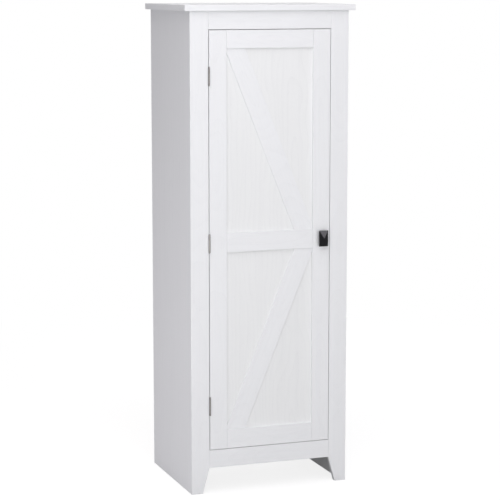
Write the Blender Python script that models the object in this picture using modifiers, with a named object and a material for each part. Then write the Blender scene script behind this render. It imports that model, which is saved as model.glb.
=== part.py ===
"""A tall one-door storage cabinet with a face frame and a braced farmhouse door.

The cabinet stands on the floor at z = 0 and faces -Y. Lengths are in metres.
Points are first worked out in the cabinet's own layout: x = 0 on the centre line,
y = 0 on the front of the face frame, z = 0 on the floor. One empty then carries the
whole layout so that the origin lies in the middle of the footprint.
"""

import math

import bmesh
import bpy
from mathutils import Matrix, Vector

# Carcass
BODY_WIDTH = 0.560
BODY_DEPTH = 0.440
BODY_HEIGHT = 1.620
SIDE_THICKNESS = 0.015
TOP_THICKNESS = 0.020
TOP_SIDE_OVERHANG = 0.020
TOP_FRONT_OVERHANG = 0.011
TOP_EDGE_RADIUS = 0.0015
EDGE_EASE = 0.0005

# Back of thin board, in two sheets that a strip joins behind the fixed shelf
BACK_THICKNESS = 0.003
BACK_INSET = 0.008
BACK_GROOVE_DEPTH = 0.006
JOINER_WALL = 0.001
JOINER_HEIGHT = 0.014

# Face frame, whose stiles run down to the floor as tapered feet
FRAME_THICKNESS = 0.018
FRAME_STILE_WIDTH = 0.0635
FRAME_TOP_RAIL_HEIGHT = 0.060
FRAME_BOTTOM_RAIL_HEIGHT = 0.061
TOE_HEIGHT = 0.0875
FOOT_WIDTH = 0.0395

# Shelves
SHELF_THICKNESS = 0.015
SHELF_SETBACK = 0.005
SHELF_END_GAP = 0.002
SHELF_BACK_GAP = 0.002
LOWER_SHELF_COUNT = 1
UPPER_SHELF_COUNT = 2

# Shelf pins, and the holes that they can be moved to
PIN_RADIUS = 0.0024
PIN_DEPTH = 0.008
PIN_COLLAR_RADIUS = 0.0042
PIN_COLLAR_THICKNESS = 0.0012
PIN_TONGUE_LENGTH = 0.010
PIN_TONGUE_WIDTH = 0.008
PIN_TONGUE_THICKNESS = 0.003
PIN_COLUMN_INSET = 0.045
PIN_HOLE_PITCH = 0.032
PIN_HOLES_EACH_WAY = 1

# Blind holes are this much deeper than what sits in them
HOLE_EXTRA_DEPTH = 0.001

# Door: a flat board with stiles, rails and braces laid on its face
DOOR_BOARD_THICKNESS = 0.012
DOOR_STRIP_THICKNESS = 0.005
DOOR_STILE_WIDTH = 0.061
DOOR_TOP_RAIL_HEIGHT = 0.060
DOOR_MIDDLE_RAIL_HEIGHT = 0.064
DOOR_BOTTOM_RAIL_HEIGHT = 0.065
BRACE_WIDTH = 0.065
DOOR_END_GAP = 0.002
DOOR_LATCH_GAP = 0.002
BRACE_CORNER_OVERRUN = 0.005

# Butt hinges with interleaved knuckles on a tipped pin
HINGE_LENGTH = 0.060
HINGE_END_DISTANCE = 0.1505
KNUCKLE_COUNT = 5
KNUCKLE_GAP = 0.0003
BARREL_RADIUS = 0.003
HINGE_PIN_RADIUS = 0.0015
HINGE_TIP_RADIUS = 0.0027
HINGE_TIP_HEIGHT = 0.0018
LEAF_THICKNESS = 0.0008
LEAF_WIDTH = 0.0155
LEAF_CLOSED_GAP = 0.0003
LEAF_SCREW_COUNT = 3
LEAF_SCREW_STAGGER = 0.002
LEAF_SCREW_RADIUS = 0.0016
LEAF_SCREW_HEAD_RADIUS = 0.0029
LEAF_COUNTERSINK_DEPTH = 0.0006

# Pyramid knob, held by a screw from inside the door
KNOB_WIDTH = 0.032
KNOB_HEIGHT = 0.054
KNOB_EDGE = 0.004
KNOB_EDGE_RADIUS = 0.0008
KNOB_PEAK = 0.006
KNOB_NECK_LENGTH = 0.012
KNOB_NECK_BASE = 0.016
KNOB_NECK_TOP = 0.012
KNOB_OFF_STILE_MIDDLE = 0.004
KNOB_SCREW_RADIUS = 0.002
KNOB_SCREW_REACH = 0.009
KNOB_SCREW_HEAD_RADIUS = 0.0045
KNOB_SCREW_HEAD_HEIGHT = 0.0024

# Magnetic catch under the fixed shelf, and its plate on the door
CATCH_WIDTH = 0.046
CATCH_BLOCK_WIDTH = 0.028
CATCH_DEPTH = 0.014
CATCH_HEIGHT = 0.013
CATCH_EAR_THICKNESS = 0.003
CATCH_FROM_STILE = 0.055
MAGNET_WIDTH = 0.020
MAGNET_HEIGHT = 0.006
MAGNET_DEPTH = 0.006
MAGNET_PROUD = 0.001
STRIKE_WIDTH = 0.036
STRIKE_HEIGHT = 0.013
STRIKE_THICKNESS = 0.001
STRIKE_HOLE_RADIUS = 0.0018

# Gaps: SEAT lies between pieces that touch, RUN between pieces that turn
SEAT = 0.0003
RUN = 0.0003

# Sides of round shapes
ROUND_SIDES = 24
SMALL_ROUND_SIDES = 12

# Levels and planes that several pieces share
inner_half = BODY_WIDTH / 2 - SIDE_THICKNESS
opening_half = BODY_WIDTH / 2 - FRAME_STILE_WIDTH
floor_top = TOE_HEIGHT + FRAME_BOTTOM_RAIL_HEIGHT
opening_top = BODY_HEIGHT - FRAME_TOP_RAIL_HEIGHT
carcass_front = FRAME_THICKNESS + SEAT
back_front = BODY_DEPTH - BACK_INSET - BACK_THICKNESS
shelf_front = FRAME_THICKNESS + SHELF_SETBACK

hinge_gap = 2 * (SEAT + LEAF_THICKNESS) + LEAF_CLOSED_GAP
hinge_axis = Vector((-opening_half + hinge_gap / 2, -BARREL_RADIUS - SEAT, 0))
door_left = -opening_half + hinge_gap
door_right = opening_half - DOOR_LATCH_GAP
door_bottom = floor_top + DOOR_END_GAP
door_top = opening_top - DOOR_END_GAP
door_middle = (door_bottom + door_top) / 2
board_front = DOOR_STRIP_THICKNESS + SEAT
door_back = board_front + DOOR_BOARD_THICKNESS

# The fixed shelf lies behind the middle of the door, which has its middle rail there
fixed_shelf_under = door_middle - SHELF_THICKNESS / 2
fixed_shelf_top = door_middle + SHELF_THICKNESS / 2

knob_x = door_right - DOOR_STILE_WIDTH / 2 + KNOB_OFF_STILE_MIDDLE
knob_reach = SEAT + KNOB_NECK_LENGTH + KNOB_EDGE + KNOB_PEAK
front_reach = max(knob_reach, TOP_FRONT_OVERHANG, 2 * BARREL_RADIUS + SEAT)


def start_scene():
    """Empties the scene and returns the collections for the parts and for the cutters."""
    for old in list(bpy.data.objects):
        bpy.data.objects.remove(old)
    parts = bpy.data.collections.new("storage_cabinet")
    cutters = bpy.data.collections.new("cutters")
    for collection in (parts, cutters):
        bpy.context.scene.collection.children.link(collection)
    return parts, cutters


def principled(name, colour, roughness, metallic=0.0):
    """A material of one finish."""
    material = bpy.data.materials.new(name)
    material.use_nodes = True
    shader = material.node_tree.nodes["Principled BSDF"]
    shader.inputs["Base Color"].default_value = (*colour, 1)
    shader.inputs["Roughness"].default_value = roughness
    shader.inputs["Metallic"].default_value = metallic
    return material


parts_collection, cutter_collection = start_scene()

WHITE_BOARD = principled("white_grained_board", (0.83, 0.83, 0.85), 0.55)
BACK_BOARD = principled("thin_back_board", (0.72, 0.66, 0.58), 0.75)
WHITE_PLASTIC = principled("white_plastic", (0.80, 0.80, 0.80), 0.40)
NICKEL = principled("satin_nickel", (0.42, 0.40, 0.39), 0.35, 1.0)
ZINC = principled("bright_zinc", (0.66, 0.67, 0.69), 0.30, 1.0)
BLACK_METAL = principled("black_cast_metal", (0.02, 0.02, 0.024), 0.38, 0.6)
MAGNET_STEEL = principled("magnet_steel", (0.22, 0.22, 0.23), 0.40, 0.9)


def empty(name, location, parent=None):
    """An empty that carries pieces and shows where they turn."""
    carrier = bpy.data.objects.new(name, None)
    carrier.location = location
    carrier.parent = parent
    parts_collection.objects.link(carrier)
    return carrier


cabinet = empty("cabinet", (0, (front_reach - BODY_DEPTH) / 2, 0))
door = empty("door_hinge_axis", hinge_axis, cabinet)


def place(piece, point, carrier):
    """Hangs a piece on its carrier, with its own origin at a point of the layout."""
    layout_origin = carrier.location if carrier.parent else Vector()
    piece.parent = carrier
    piece.location = Vector(point) - layout_origin


def add_piece(name, data, material, point, carrier):
    """A named part from a mesh or a curve."""
    data.materials.append(material)
    piece = bpy.data.objects.new(name, data)
    parts_collection.objects.link(piece)
    place(piece, point, carrier)
    return piece


def add_cutter(name, mesh, point, carrier=cabinet):
    """A helper shape that isn't part of the cabinet."""
    cutter = bpy.data.objects.new(name, mesh)
    cutter.hide_render = True
    cutter.display_type = "WIRE"
    cutter_collection.objects.link(cutter)
    place(cutter, point, carrier)
    return cutter


def mesh_from(name, build):
    """A mesh that a function fills through bmesh."""
    mesh = bpy.data.meshes.new(name)
    shape = bmesh.new()
    build(shape)
    shape.to_mesh(mesh)
    shape.free()
    return mesh


def add_block(shape, low, high):
    """Adds a box between two corners."""
    low, high = Vector(low), Vector(high)
    made = bmesh.ops.create_cube(shape, size=1.0)["verts"]
    bmesh.ops.scale(shape, vec=high - low, verts=made)
    bmesh.ops.translate(shape, vec=(low + high) / 2, verts=made)
    return made


def add_rod(shape, start, end, radius, end_radius=None, sides=ROUND_SIDES):
    """Adds a round rod or cone whose centre line runs from start to end."""
    start, end = Vector(start), Vector(end)
    made = bmesh.ops.create_cone(
        shape,
        cap_ends=True,
        segments=sides,
        radius1=radius,
        radius2=radius if end_radius is None else end_radius,
        depth=(end - start).length,
    )["verts"]
    turn = Vector((0, 0, 1)).rotation_difference(end - start).to_matrix()
    bmesh.ops.rotate(shape, cent=(0, 0, 0), matrix=turn, verts=made)
    bmesh.ops.translate(shape, vec=(start + end) / 2, verts=made)
    return made


def ease_edges(piece, width, segments=1):
    """Rounds or breaks the sharp edges of a piece."""
    bevel = piece.modifiers.new("eased_edges", "BEVEL")
    bevel.width = width
    bevel.segments = segments
    bevel.limit_method = "ANGLE"
    bevel.angle_limit = math.radians(40)


def join_or_cut(piece, other, operation):
    """Adds or removes the shape of another object."""
    boolean = piece.modifiers.new(other.name, "BOOLEAN")
    boolean.operation = operation
    boolean.object = other


def board(name, low, high, carrier=cabinet, material=WHITE_BOARD, ease=EDGE_EASE, segments=1):
    """A flat board between two corners of the layout, with broken edges."""
    low, high = Vector(low), Vector(high)
    half = (high - low) / 2
    mesh = mesh_from(name, lambda shape: add_block(shape, -half, half))
    piece = add_piece(name, mesh, material, (low + high) / 2, carrier)
    if ease:
        ease_edges(piece, ease, segments)
    return piece


def upright_outline(name, points, front, thickness, carrier, ease=EDGE_EASE):
    """A board cut to an outline of (x, z) points, with its face towards -Y."""
    data = bpy.data.curves.new(name, "CURVE")
    data.dimensions = "2D"
    data.fill_mode = "BOTH"
    data.extrude = thickness / 2
    spline = data.splines.new("POLY")
    spline.points.add(len(points) - 1)
    corner_x, corner_z = points[0]
    for spot, (x, z) in zip(spline.points, points):
        spot.co = (x - corner_x, z - corner_z, 0, 1)
    spline.use_cyclic_u = True
    origin = (corner_x, front + thickness / 2, corner_z)
    piece = add_piece(name, data, WHITE_BOARD, origin, carrier)
    piece.rotation_euler = (math.radians(90), 0, 0)
    weld = piece.modifiers.new("closed_outline", "WELD")
    weld.merge_threshold = 0.00001
    if ease:
        ease_edges(piece, ease)
    return piece


def turned(name, profile, sides, material, point, carrier):
    """A piece turned about its own Z axis from (radius, z) points, top to bottom."""
    mesh = bpy.data.meshes.new(name)
    spots = [(radius, 0, z) for radius, z in profile]
    mesh.from_pydata(spots, [(i, i + 1) for i in range(len(spots) - 1)], [])
    piece = add_piece(name, mesh, material, point, carrier)
    screw = piece.modifiers.new("turned", "SCREW")
    screw.steps = screw.render_steps = sides
    screw.use_merge_vertices = True
    screw.merge_threshold = 0.00001
    screw.use_smooth_shade = True
    return piece


def finished_mesh(name, piece, helpers):
    """The mesh of a piece once its modifiers have run. The piece and its helpers go."""
    graph = bpy.context.evaluated_depsgraph_get()
    mesh = bpy.data.meshes.new_from_object(piece.evaluated_get(graph))
    mesh.name = name
    mesh.materials.clear()
    for done in (piece, *helpers):
        bpy.data.objects.remove(done)
    return mesh


def shelf_levels():
    """The undersides of the adjustable shelves, evenly spread below and above the fixed one."""
    levels = []
    spans = (
        (floor_top, fixed_shelf_under, LOWER_SHELF_COUNT),
        (fixed_shelf_top, BODY_HEIGHT, UPPER_SHELF_COUNT),
    )
    for low, high, count in spans:
        clear = (high - low - count * SHELF_THICKNESS) / (count + 1)
        levels += [low + clear + i * (clear + SHELF_THICKNESS) for i in range(count)]
    return levels


def pin_columns():
    """How far back the front and the rear pins stand."""
    shelf_rear = back_front - SHELF_BACK_GAP
    return {"front": shelf_front + PIN_COLUMN_INSET, "rear": shelf_rear - PIN_COLUMN_INSET}


def pin_height(level):
    """The height of the pins that carry a shelf whose underside is at this level."""
    return level - SEAT - PIN_TONGUE_THICKNESS / 2


def back_groove(shape, side):
    """The groove for the back, down the whole of one side panel."""
    bottom = side * (inner_half + BACK_GROOVE_DEPTH)
    clear = side * (inner_half - SIDE_THICKNESS)
    left, right = sorted((bottom, clear))
    front, rear = back_front - SEAT, back_front + BACK_THICKNESS + SEAT
    past = SIDE_THICKNESS
    add_block(shape, (left, front, -past), (right, rear, BODY_HEIGHT + past))


def pin_holes(shape, side):
    """Every hole that a shelf pin can go into on one side."""
    radius = (PIN_RADIUS + RUN) / math.cos(math.pi / SMALL_ROUND_SIDES)
    depth = PIN_DEPTH + HOLE_EXTRA_DEPTH
    steps = range(-PIN_HOLES_EACH_WAY, PIN_HOLES_EACH_WAY + 1)
    for level in shelf_levels():
        for y in pin_columns().values():
            for step in steps:
                z = pin_height(level) + step * PIN_HOLE_PITCH
                start = (side * (inner_half - depth), y, z)
                end = (side * (inner_half + depth), y, z)
                add_rod(shape, start, end, radius, sides=SMALL_ROUND_SIDES)


def make_side_panels():
    """Both sides, grooved for the back and drilled for the shelf pins."""
    for side, name in ((-1, "left"), (1, "right")):
        left, right = sorted((side * inner_half, side * BODY_WIDTH / 2))
        low = (left, carcass_front, 0)
        high = (right, BODY_DEPTH, BODY_HEIGHT - SEAT)
        panel = board(f"{name}_side_panel", low, high)
        for what, build in (("back_groove", back_groove), ("pin_holes", pin_holes)):
            mesh = mesh_from(what, lambda shape: build(shape, side))
            cutter = add_cutter(f"{name}_{what}", mesh, (0, 0, 0))
            join_or_cut(panel, cutter, "DIFFERENCE")


def make_top_and_bottom():
    """The overhanging top and the cabinet floor."""
    board(
        "top_panel",
        (-BODY_WIDTH / 2 - TOP_SIDE_OVERHANG, -TOP_FRONT_OVERHANG, BODY_HEIGHT),
        (BODY_WIDTH / 2 + TOP_SIDE_OVERHANG, BODY_DEPTH, BODY_HEIGHT + TOP_THICKNESS),
        ease=TOP_EDGE_RADIUS,
        segments=3,
    )
    board(
        "bottom_panel",
        (-inner_half + SEAT, carcass_front, floor_top - SHELF_THICKNESS),
        (inner_half - SEAT, back_front - SEAT, floor_top),
    )


def make_back():
    """Two thin sheets in the grooves of the sides, with an H-shaped strip between them."""
    half = inner_half + BACK_GROOVE_DEPTH - SEAT
    joint = (fixed_shelf_under + fixed_shelf_top) / 2
    edge = JOINER_WALL / 2 + SEAT
    rear = back_front + BACK_THICKNESS
    sheets = (
        ("back_panel_lower", floor_top - SHELF_THICKNESS, joint - edge),
        ("back_panel_upper", joint + edge, BODY_HEIGHT - SEAT),
    )
    for name, low, high in sheets:
        board(name, (-half, back_front, low), (half, rear, high), material=BACK_BOARD, ease=0)

    half = inner_half - SEAT
    slot_front, slot_rear = back_front - SEAT, rear + SEAT
    strip = board(
        "back_joiner_strip",
        (-half, slot_front - JOINER_WALL, joint - JOINER_HEIGHT / 2),
        (half, slot_rear + JOINER_WALL, joint + JOINER_HEIGHT / 2),
        material=WHITE_PLASTIC,
        ease=0,
    )

    def slots(shape):
        for side in (-1, 1):
            near, far = sorted((joint + side * JOINER_WALL / 2, joint + side * JOINER_HEIGHT))
            add_block(shape, (-BODY_WIDTH, slot_front, near), (BODY_WIDTH, slot_rear, far))

    cutter = add_cutter("joiner_slots", mesh_from("joiner_slots", slots), (0, 0, 0))
    join_or_cut(strip, cutter, "DIFFERENCE")


def make_face_frame():
    """Two stiles with tapered feet, and the rails between them."""
    outer = BODY_WIDTH / 2
    top = BODY_HEIGHT - SEAT
    for side, name in ((-1, "left"), (1, "right")):
        shape = [
            (side * outer, 0),
            (side * (outer - FOOT_WIDTH), 0),
            (side * opening_half, TOE_HEIGHT),
            (side * opening_half, top),
            (side * outer, top),
        ]
        upright_outline(f"frame_{name}_stile", shape, 0, FRAME_THICKNESS, cabinet)
    half = opening_half - SEAT
    rails = (("frame_top_rail", opening_top, top), ("frame_bottom_rail", TOE_HEIGHT, floor_top))
    for name, low, high in rails:
        board(name, (-half, 0, low), (half, FRAME_THICKNESS, high))


def make_shelves():
    """The fixed shelf and the adjustable ones."""
    half = inner_half - SEAT
    joiner_front = back_front - SEAT - JOINER_WALL
    board(
        "fixed_shelf",
        (-half, shelf_front, fixed_shelf_under),
        (half, joiner_front - SEAT, fixed_shelf_top),
    )
    half = inner_half - SHELF_END_GAP
    rear = back_front - SHELF_BACK_GAP
    for number, level in enumerate(shelf_levels(), 1):
        low = (-half, shelf_front, level)
        board(f"adjustable_shelf_{number}", low, (half, rear, level + SHELF_THICKNESS))


def pin_mesh(side):
    """A pushed-in pin with a collar and a flat tongue, for the panel on this side."""
    collar_front = -SEAT - PIN_COLLAR_THICKNESS
    inside_collar = collar_front + PIN_COLLAR_THICKNESS / 2
    wide, tall = PIN_TONGUE_WIDTH / 2, PIN_TONGUE_THICKNESS / 2
    low, high = (-PIN_TONGUE_LENGTH, -wide, -tall), (inside_collar, wide, tall)
    tongue = mesh_from("pin_tongue", lambda shape: add_block(shape, low, high))
    pin = add_cutter("pin_tongue", tongue, (0, 0, 0))
    helpers = []
    rods = (
        ("pin_collar", collar_front, -SEAT, PIN_COLLAR_RADIUS),
        ("pin_shank", inside_collar, PIN_DEPTH, PIN_RADIUS),
    )
    for name, near, far, radius in rods:
        ends = ((near, 0, 0), (far, 0, 0))
        rod = mesh_from(name, lambda shape: add_rod(shape, *ends, radius, sides=SMALL_ROUND_SIDES))
        helpers.append(add_cutter(name, rod, (0, 0, 0)))
        join_or_cut(pin, helpers[-1], "UNION")
    mesh = finished_mesh("shelf_pin", pin, helpers)
    if side < 0:
        mesh.transform(Matrix.Rotation(math.pi, 4, "Z"))
    return mesh


def make_shelf_pins():
    """Four pins under each adjustable shelf."""
    for side, name in ((-1, "left"), (1, "right")):
        shared = pin_mesh(side)
        shared.materials.append(ZINC)
        for number, level in enumerate(shelf_levels(), 1):
            for column, y in pin_columns().items():
                pin = bpy.data.objects.new(f"shelf_{number}_pin_{column}_{name}", shared)
                parts_collection.objects.link(pin)
                place(pin, (side * inner_half, y, pin_height(level)), cabinet)


def strip_board(name, left, right, low, high):
    """A strip laid on the face of the door board."""
    return board(name, (left, 0, low), (right, DOOR_STRIP_THICKNESS, high), door)


def brace_lean(reach, height):
    """How far a brace leans from upright when its opposite edges pass through opposite corners."""
    diagonal = math.hypot(reach, height)
    return math.asin(reach / diagonal) - math.asin(BRACE_WIDTH / diagonal)


def brace_outline(left, right, low, high, rising):
    """A strip of even width from corner to corner of a panel, trimmed to the panel's edges."""
    reach = right - left + 2 * BRACE_CORNER_OVERRUN
    height = high - low
    lean = brace_lean(reach, height)
    across = BRACE_WIDTH / math.cos(lean)
    trim = BRACE_CORNER_OVERRUN / math.tan(lean)
    points = [
        (left, high),
        (left, high - trim),
        (right + BRACE_CORNER_OVERRUN - across, low),
        (right, low),
        (right, low + trim),
        (left - BRACE_CORNER_OVERRUN + across, high),
    ]
    if rising:
        points = [(x, low + high - z) for x, z in points]
    return points


def make_door():
    """The door board with its stiles, rails and two braces."""
    board(
        "door_board",
        (door_left, board_front, door_bottom),
        (door_right, door_back, door_top),
        door,
    )
    inner_left = door_left + DOOR_STILE_WIDTH
    inner_right = door_right - DOOR_STILE_WIDTH
    strip_board("door_hinge_stile", door_left, inner_left, door_bottom, door_top)
    strip_board("door_latch_stile", inner_right, door_right, door_bottom, door_top)

    half = DOOR_MIDDLE_RAIL_HEIGHT / 2
    rails = {
        "door_bottom_rail": (door_bottom, door_bottom + DOOR_BOTTOM_RAIL_HEIGHT),
        "door_middle_rail": (door_middle - half, door_middle + half),
        "door_top_rail": (door_top - DOOR_TOP_RAIL_HEIGHT, door_top),
    }
    left, right = inner_left + SEAT, inner_right - SEAT
    for name, (low, high) in rails.items():
        strip_board(name, left, right, low, high)

    braces = (
        ("door_lower_brace", "door_bottom_rail", "door_middle_rail", True),
        ("door_upper_brace", "door_middle_rail", "door_top_rail", False),
    )
    for name, below, above, rising in braces:
        shape = brace_outline(left, right, rails[below][1] + SEAT, rails[above][0] - SEAT, rising)
        upright_outline(name, shape, 0, DOOR_STRIP_THICKNESS, door)


def knuckle_spans():
    """The (low, high) heights of the knuckles, measured from the middle of the hinge."""
    pitch = HINGE_LENGTH / KNUCKLE_COUNT
    trim = KNUCKLE_GAP / 2
    starts = [-HINGE_LENGTH / 2 + i * pitch for i in range(KNUCKLE_COUNT)]
    return [(start + trim, start + pitch - trim) for start in starts]


def leaf_mesh(side):
    """One hinge leaf about the pin: side -1 goes on the frame, +1 on the door.

    The origin is on the pin's axis. The plate lies in the gap beside the door,
    and its knuckles wrap the pin in front of the face.
    """
    first = 0 if side < 0 else 1
    spans = knuckle_spans()[first::2]
    inner, outer = LEAF_CLOSED_GAP / 2, LEAF_CLOSED_GAP / 2 + LEAF_THICKNESS
    left, right = sorted((side * inner, side * outer))
    plate_front = -hinge_axis.y + SEAT
    plate_rear = -hinge_axis.y + LEAF_WIDTH
    barrel_bore = HINGE_PIN_RADIUS + RUN
    neck_front = (barrel_bore + BARREL_RADIUS) / 2
    half = HINGE_LENGTH / 2

    mesh = mesh_from("leaf_plate", lambda shape: add_block(
        shape, (left, plate_front, -half), (right, plate_rear, half)
    ))
    leaf = add_cutter("leaf_plate", mesh, (0, 0, 0))

    def necks(shape):
        overlap = LEAF_WIDTH / 4
        for low, high in spans:
            add_block(shape, (left, neck_front, low), (right, plate_front + overlap, high))

    def knuckles(shape):
        for low, high in spans:
            add_rod(shape, (0, 0, low), (0, 0, high), BARREL_RADIUS)

    def bore(shape):
        add_rod(shape, (0, 0, -HINGE_LENGTH), (0, 0, HINGE_LENGTH), barrel_bore)

    def screw_spots():
        middle = (plate_front + plate_rear) / 2
        for i in range(LEAF_SCREW_COUNT):
            stagger = LEAF_SCREW_STAGGER * (1 if i % 2 else -1)
            yield middle + stagger, HINGE_LENGTH * ((i + 0.5) / LEAF_SCREW_COUNT - 0.5)

    def screw_holes(shape):
        for y, z in screw_spots():
            ends = ((left - LEAF_THICKNESS, y, z), (right + LEAF_THICKNESS, y, z))
            add_rod(shape, *ends, LEAF_SCREW_RADIUS, sides=SMALL_ROUND_SIDES)

    def countersinks(shape):
        widening = (LEAF_SCREW_HEAD_RADIUS - LEAF_SCREW_RADIUS) / LEAF_COUNTERSINK_DEPTH
        mouth = side * (inner - LEAF_THICKNESS)
        bottom = side * (inner + LEAF_COUNTERSINK_DEPTH)
        mouth_radius = LEAF_SCREW_HEAD_RADIUS + widening * LEAF_THICKNESS
        for y, z in screw_spots():
            ends = ((mouth, y, z), (bottom, y, z))
            add_rod(shape, *ends, mouth_radius, LEAF_SCREW_RADIUS, SMALL_ROUND_SIDES)

    helpers = []
    steps = (
        ("leaf_necks", necks, "UNION"),
        ("leaf_knuckles", knuckles, "UNION"),
        ("leaf_bore", bore, "DIFFERENCE"),
        ("leaf_screw_holes", screw_holes, "DIFFERENCE"),
        ("leaf_countersinks", countersinks, "DIFFERENCE"),
    )
    for name, build, operation in steps:
        helpers.append(add_cutter(name, mesh_from(name, build), (0, 0, 0)))
        join_or_cut(leaf, helpers[-1], operation)
    return finished_mesh("hinge_leaf", leaf, helpers)


def make_hinges():
    """Three hinges, each of a frame leaf, a door leaf and a tipped pin."""
    heights = {
        "lower": door_bottom + HINGE_END_DISTANCE,
        "middle": door_middle,
        "upper": door_top - HINGE_END_DISTANCE,
    }
    frame_leaf, door_leaf = leaf_mesh(-1), leaf_mesh(1)
    for mesh in (frame_leaf, door_leaf):
        mesh.materials.append(NICKEL)
        mesh.shade_smooth()
        mesh.set_sharp_from_angle(angle=math.radians(40))
    half = HINGE_LENGTH / 2 + SEAT
    shoulder = HINGE_TIP_HEIGHT / 3
    pin_profile = [
        (0, half + HINGE_TIP_HEIGHT),
        (HINGE_TIP_RADIUS * 0.7, half + 2 * shoulder),
        (HINGE_TIP_RADIUS, half + shoulder),
        (HINGE_TIP_RADIUS, half),
        (HINGE_PIN_RADIUS, half),
    ]
    pin_profile += [(radius, -z) for radius, z in reversed(pin_profile)]
    for place_name, z in heights.items():
        point = Vector((hinge_axis.x, hinge_axis.y, z))
        leaves = (
            (f"hinge_{place_name}_frame_leaf", frame_leaf, cabinet),
            (f"hinge_{place_name}_door_leaf", door_leaf, door),
        )
        for name, mesh, carrier in leaves:
            leaf = bpy.data.objects.new(name, mesh)
            parts_collection.objects.link(leaf)
            place(leaf, point, carrier)
        turned(f"hinge_{place_name}_pin", pin_profile, ROUND_SIDES, NICKEL, point, cabinet)


def make_knob():
    """The pyramid knob on its tapered neck, its screw, and the hole through the door."""
    centre = (knob_x, 0, door_middle)
    neck_end = -SEAT - KNOB_NECK_LENGTH
    head_front = neck_end - KNOB_EDGE

    def head(shape):
        wide, tall = KNOB_WIDTH / 2, KNOB_HEIGHT / 2
        add_block(shape, (-wide, head_front, -tall), (wide, neck_end, tall))
        front = min(shape.faces, key=lambda face: face.calc_center_median().y)
        bmesh.ops.poke(shape, faces=[front], offset=KNOB_PEAK)

    def neck(shape):
        half = KNOB_NECK_TOP / 2
        inside_head = neck_end - KNOB_EDGE / 2
        made = add_block(shape, (-half, inside_head, -half), (half, -SEAT, half))
        foot = [corner for corner in made if corner.co.y > neck_end]
        flare = KNOB_NECK_BASE / KNOB_NECK_TOP
        bmesh.ops.scale(shape, vec=(flare, 1, flare), verts=foot)

    def screw_bore(shape):
        radius = (KNOB_SCREW_RADIUS + RUN) / math.cos(math.pi / SMALL_ROUND_SIDES)
        blind_end = (0, -KNOB_SCREW_REACH - HOLE_EXTRA_DEPTH, 0)
        add_rod(shape, blind_end, (0, 2 * door_back, 0), radius, sides=SMALL_ROUND_SIDES)

    knob = add_piece("knob", mesh_from("knob", head), BLACK_METAL, centre, door)
    ease_edges(knob, KNOB_EDGE_RADIUS)
    foot = add_cutter("knob_neck", mesh_from("knob_neck", neck), centre, door)
    join_or_cut(knob, foot, "UNION")
    hole = add_cutter("knob_screw_hole", mesh_from("knob_screw_hole", screw_bore), centre, door)
    for name in ("knob", "door_latch_stile", "door_board"):
        join_or_cut(bpy.data.objects[name], hole, "DIFFERENCE")

    seat = door_back + SEAT
    rim = KNOB_SCREW_HEAD_HEIGHT / 3
    profile = [
        (0, seat + KNOB_SCREW_HEAD_HEIGHT),
        (KNOB_SCREW_HEAD_RADIUS * 0.75, seat + 2 * rim),
        (KNOB_SCREW_HEAD_RADIUS, seat + rim),
        (KNOB_SCREW_HEAD_RADIUS, seat),
        (KNOB_SCREW_RADIUS, seat),
        (KNOB_SCREW_RADIUS, -KNOB_SCREW_REACH),
        (0, -KNOB_SCREW_REACH),
    ]
    screw = turned("knob_screw", profile, SMALL_ROUND_SIDES, ZINC, centre, door)
    screw.rotation_euler = (math.radians(-90), 0, 0)


def make_catch():
    """The magnetic catch under the fixed shelf and the steel plate that it holds."""
    x = opening_half - CATCH_FROM_STILE
    top = fixed_shelf_under - SEAT
    strike_rear = door_back + SEAT + STRIKE_THICKNESS
    magnet_front = strike_rear + SEAT
    front = magnet_front + MAGNET_PROUD
    rear = front + CATCH_DEPTH
    middle = top - CATCH_EAR_THICKNESS - (CATCH_HEIGHT - CATCH_EAR_THICKNESS) / 2
    half_ears, half_block = CATCH_WIDTH / 2, CATCH_BLOCK_WIDTH / 2

    housing = board(
        "catch_housing",
        (x - half_ears, front, top - CATCH_EAR_THICKNESS),
        (x + half_ears, rear, top),
        material=WHITE_PLASTIC,
        ease=0,
    )

    def block(shape):
        add_block(
            shape,
            (x - half_block, front, top - CATCH_HEIGHT),
            (x + half_block, rear, top - CATCH_EAR_THICKNESS / 2),
        )

    def pocket(shape):
        wide, tall = MAGNET_WIDTH / 2 + SEAT, MAGNET_HEIGHT / 2 + SEAT
        deep = magnet_front + MAGNET_DEPTH + SEAT
        add_block(shape, (x - wide, front - CATCH_DEPTH, middle - tall), (x + wide, deep, middle + tall))

    steps = (("catch_block", block, "UNION"), ("magnet_pocket", pocket, "DIFFERENCE"))
    for name, build, operation in steps:
        join_or_cut(housing, add_cutter(name, mesh_from(name, build), (0, 0, 0)), operation)

    wide, tall = MAGNET_WIDTH / 2, MAGNET_HEIGHT / 2
    board(
        "catch_magnet",
        (x - wide, magnet_front, middle - tall),
        (x + wide, magnet_front + MAGNET_DEPTH, middle + tall),
        material=MAGNET_STEEL,
        ease=0,
    )
    plate = board(
        "catch_strike_plate",
        (x - STRIKE_WIDTH / 2, door_back + SEAT, middle - STRIKE_HEIGHT / 2),
        (x + STRIKE_WIDTH / 2, strike_rear, middle + STRIKE_HEIGHT / 2),
        door,
        ZINC,
        ease=0,
    )

    def plate_hole(shape):
        reach = 2 * STRIKE_THICKNESS
        start, end = (0, -reach, 0), (0, reach, 0)
        add_rod(shape, start, end, STRIKE_HOLE_RADIUS, sides=SMALL_ROUND_SIDES)

    hole_mesh = mesh_from("strike_hole", plate_hole)
    spot = (x, door_back + SEAT + STRIKE_THICKNESS / 2, middle)
    join_or_cut(plate, add_cutter("strike_hole", hole_mesh, spot, door), "DIFFERENCE")


make_side_panels()
make_top_and_bottom()
make_back()
make_face_frame()
make_shelves()
make_shelf_pins()
make_door()
make_hinges()
make_knob()
make_catch()
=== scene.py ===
"""Storage cabinet, dressed for pictures: foil on every board, metal, plastic, and a studio."""

import contextlib
import math

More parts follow.
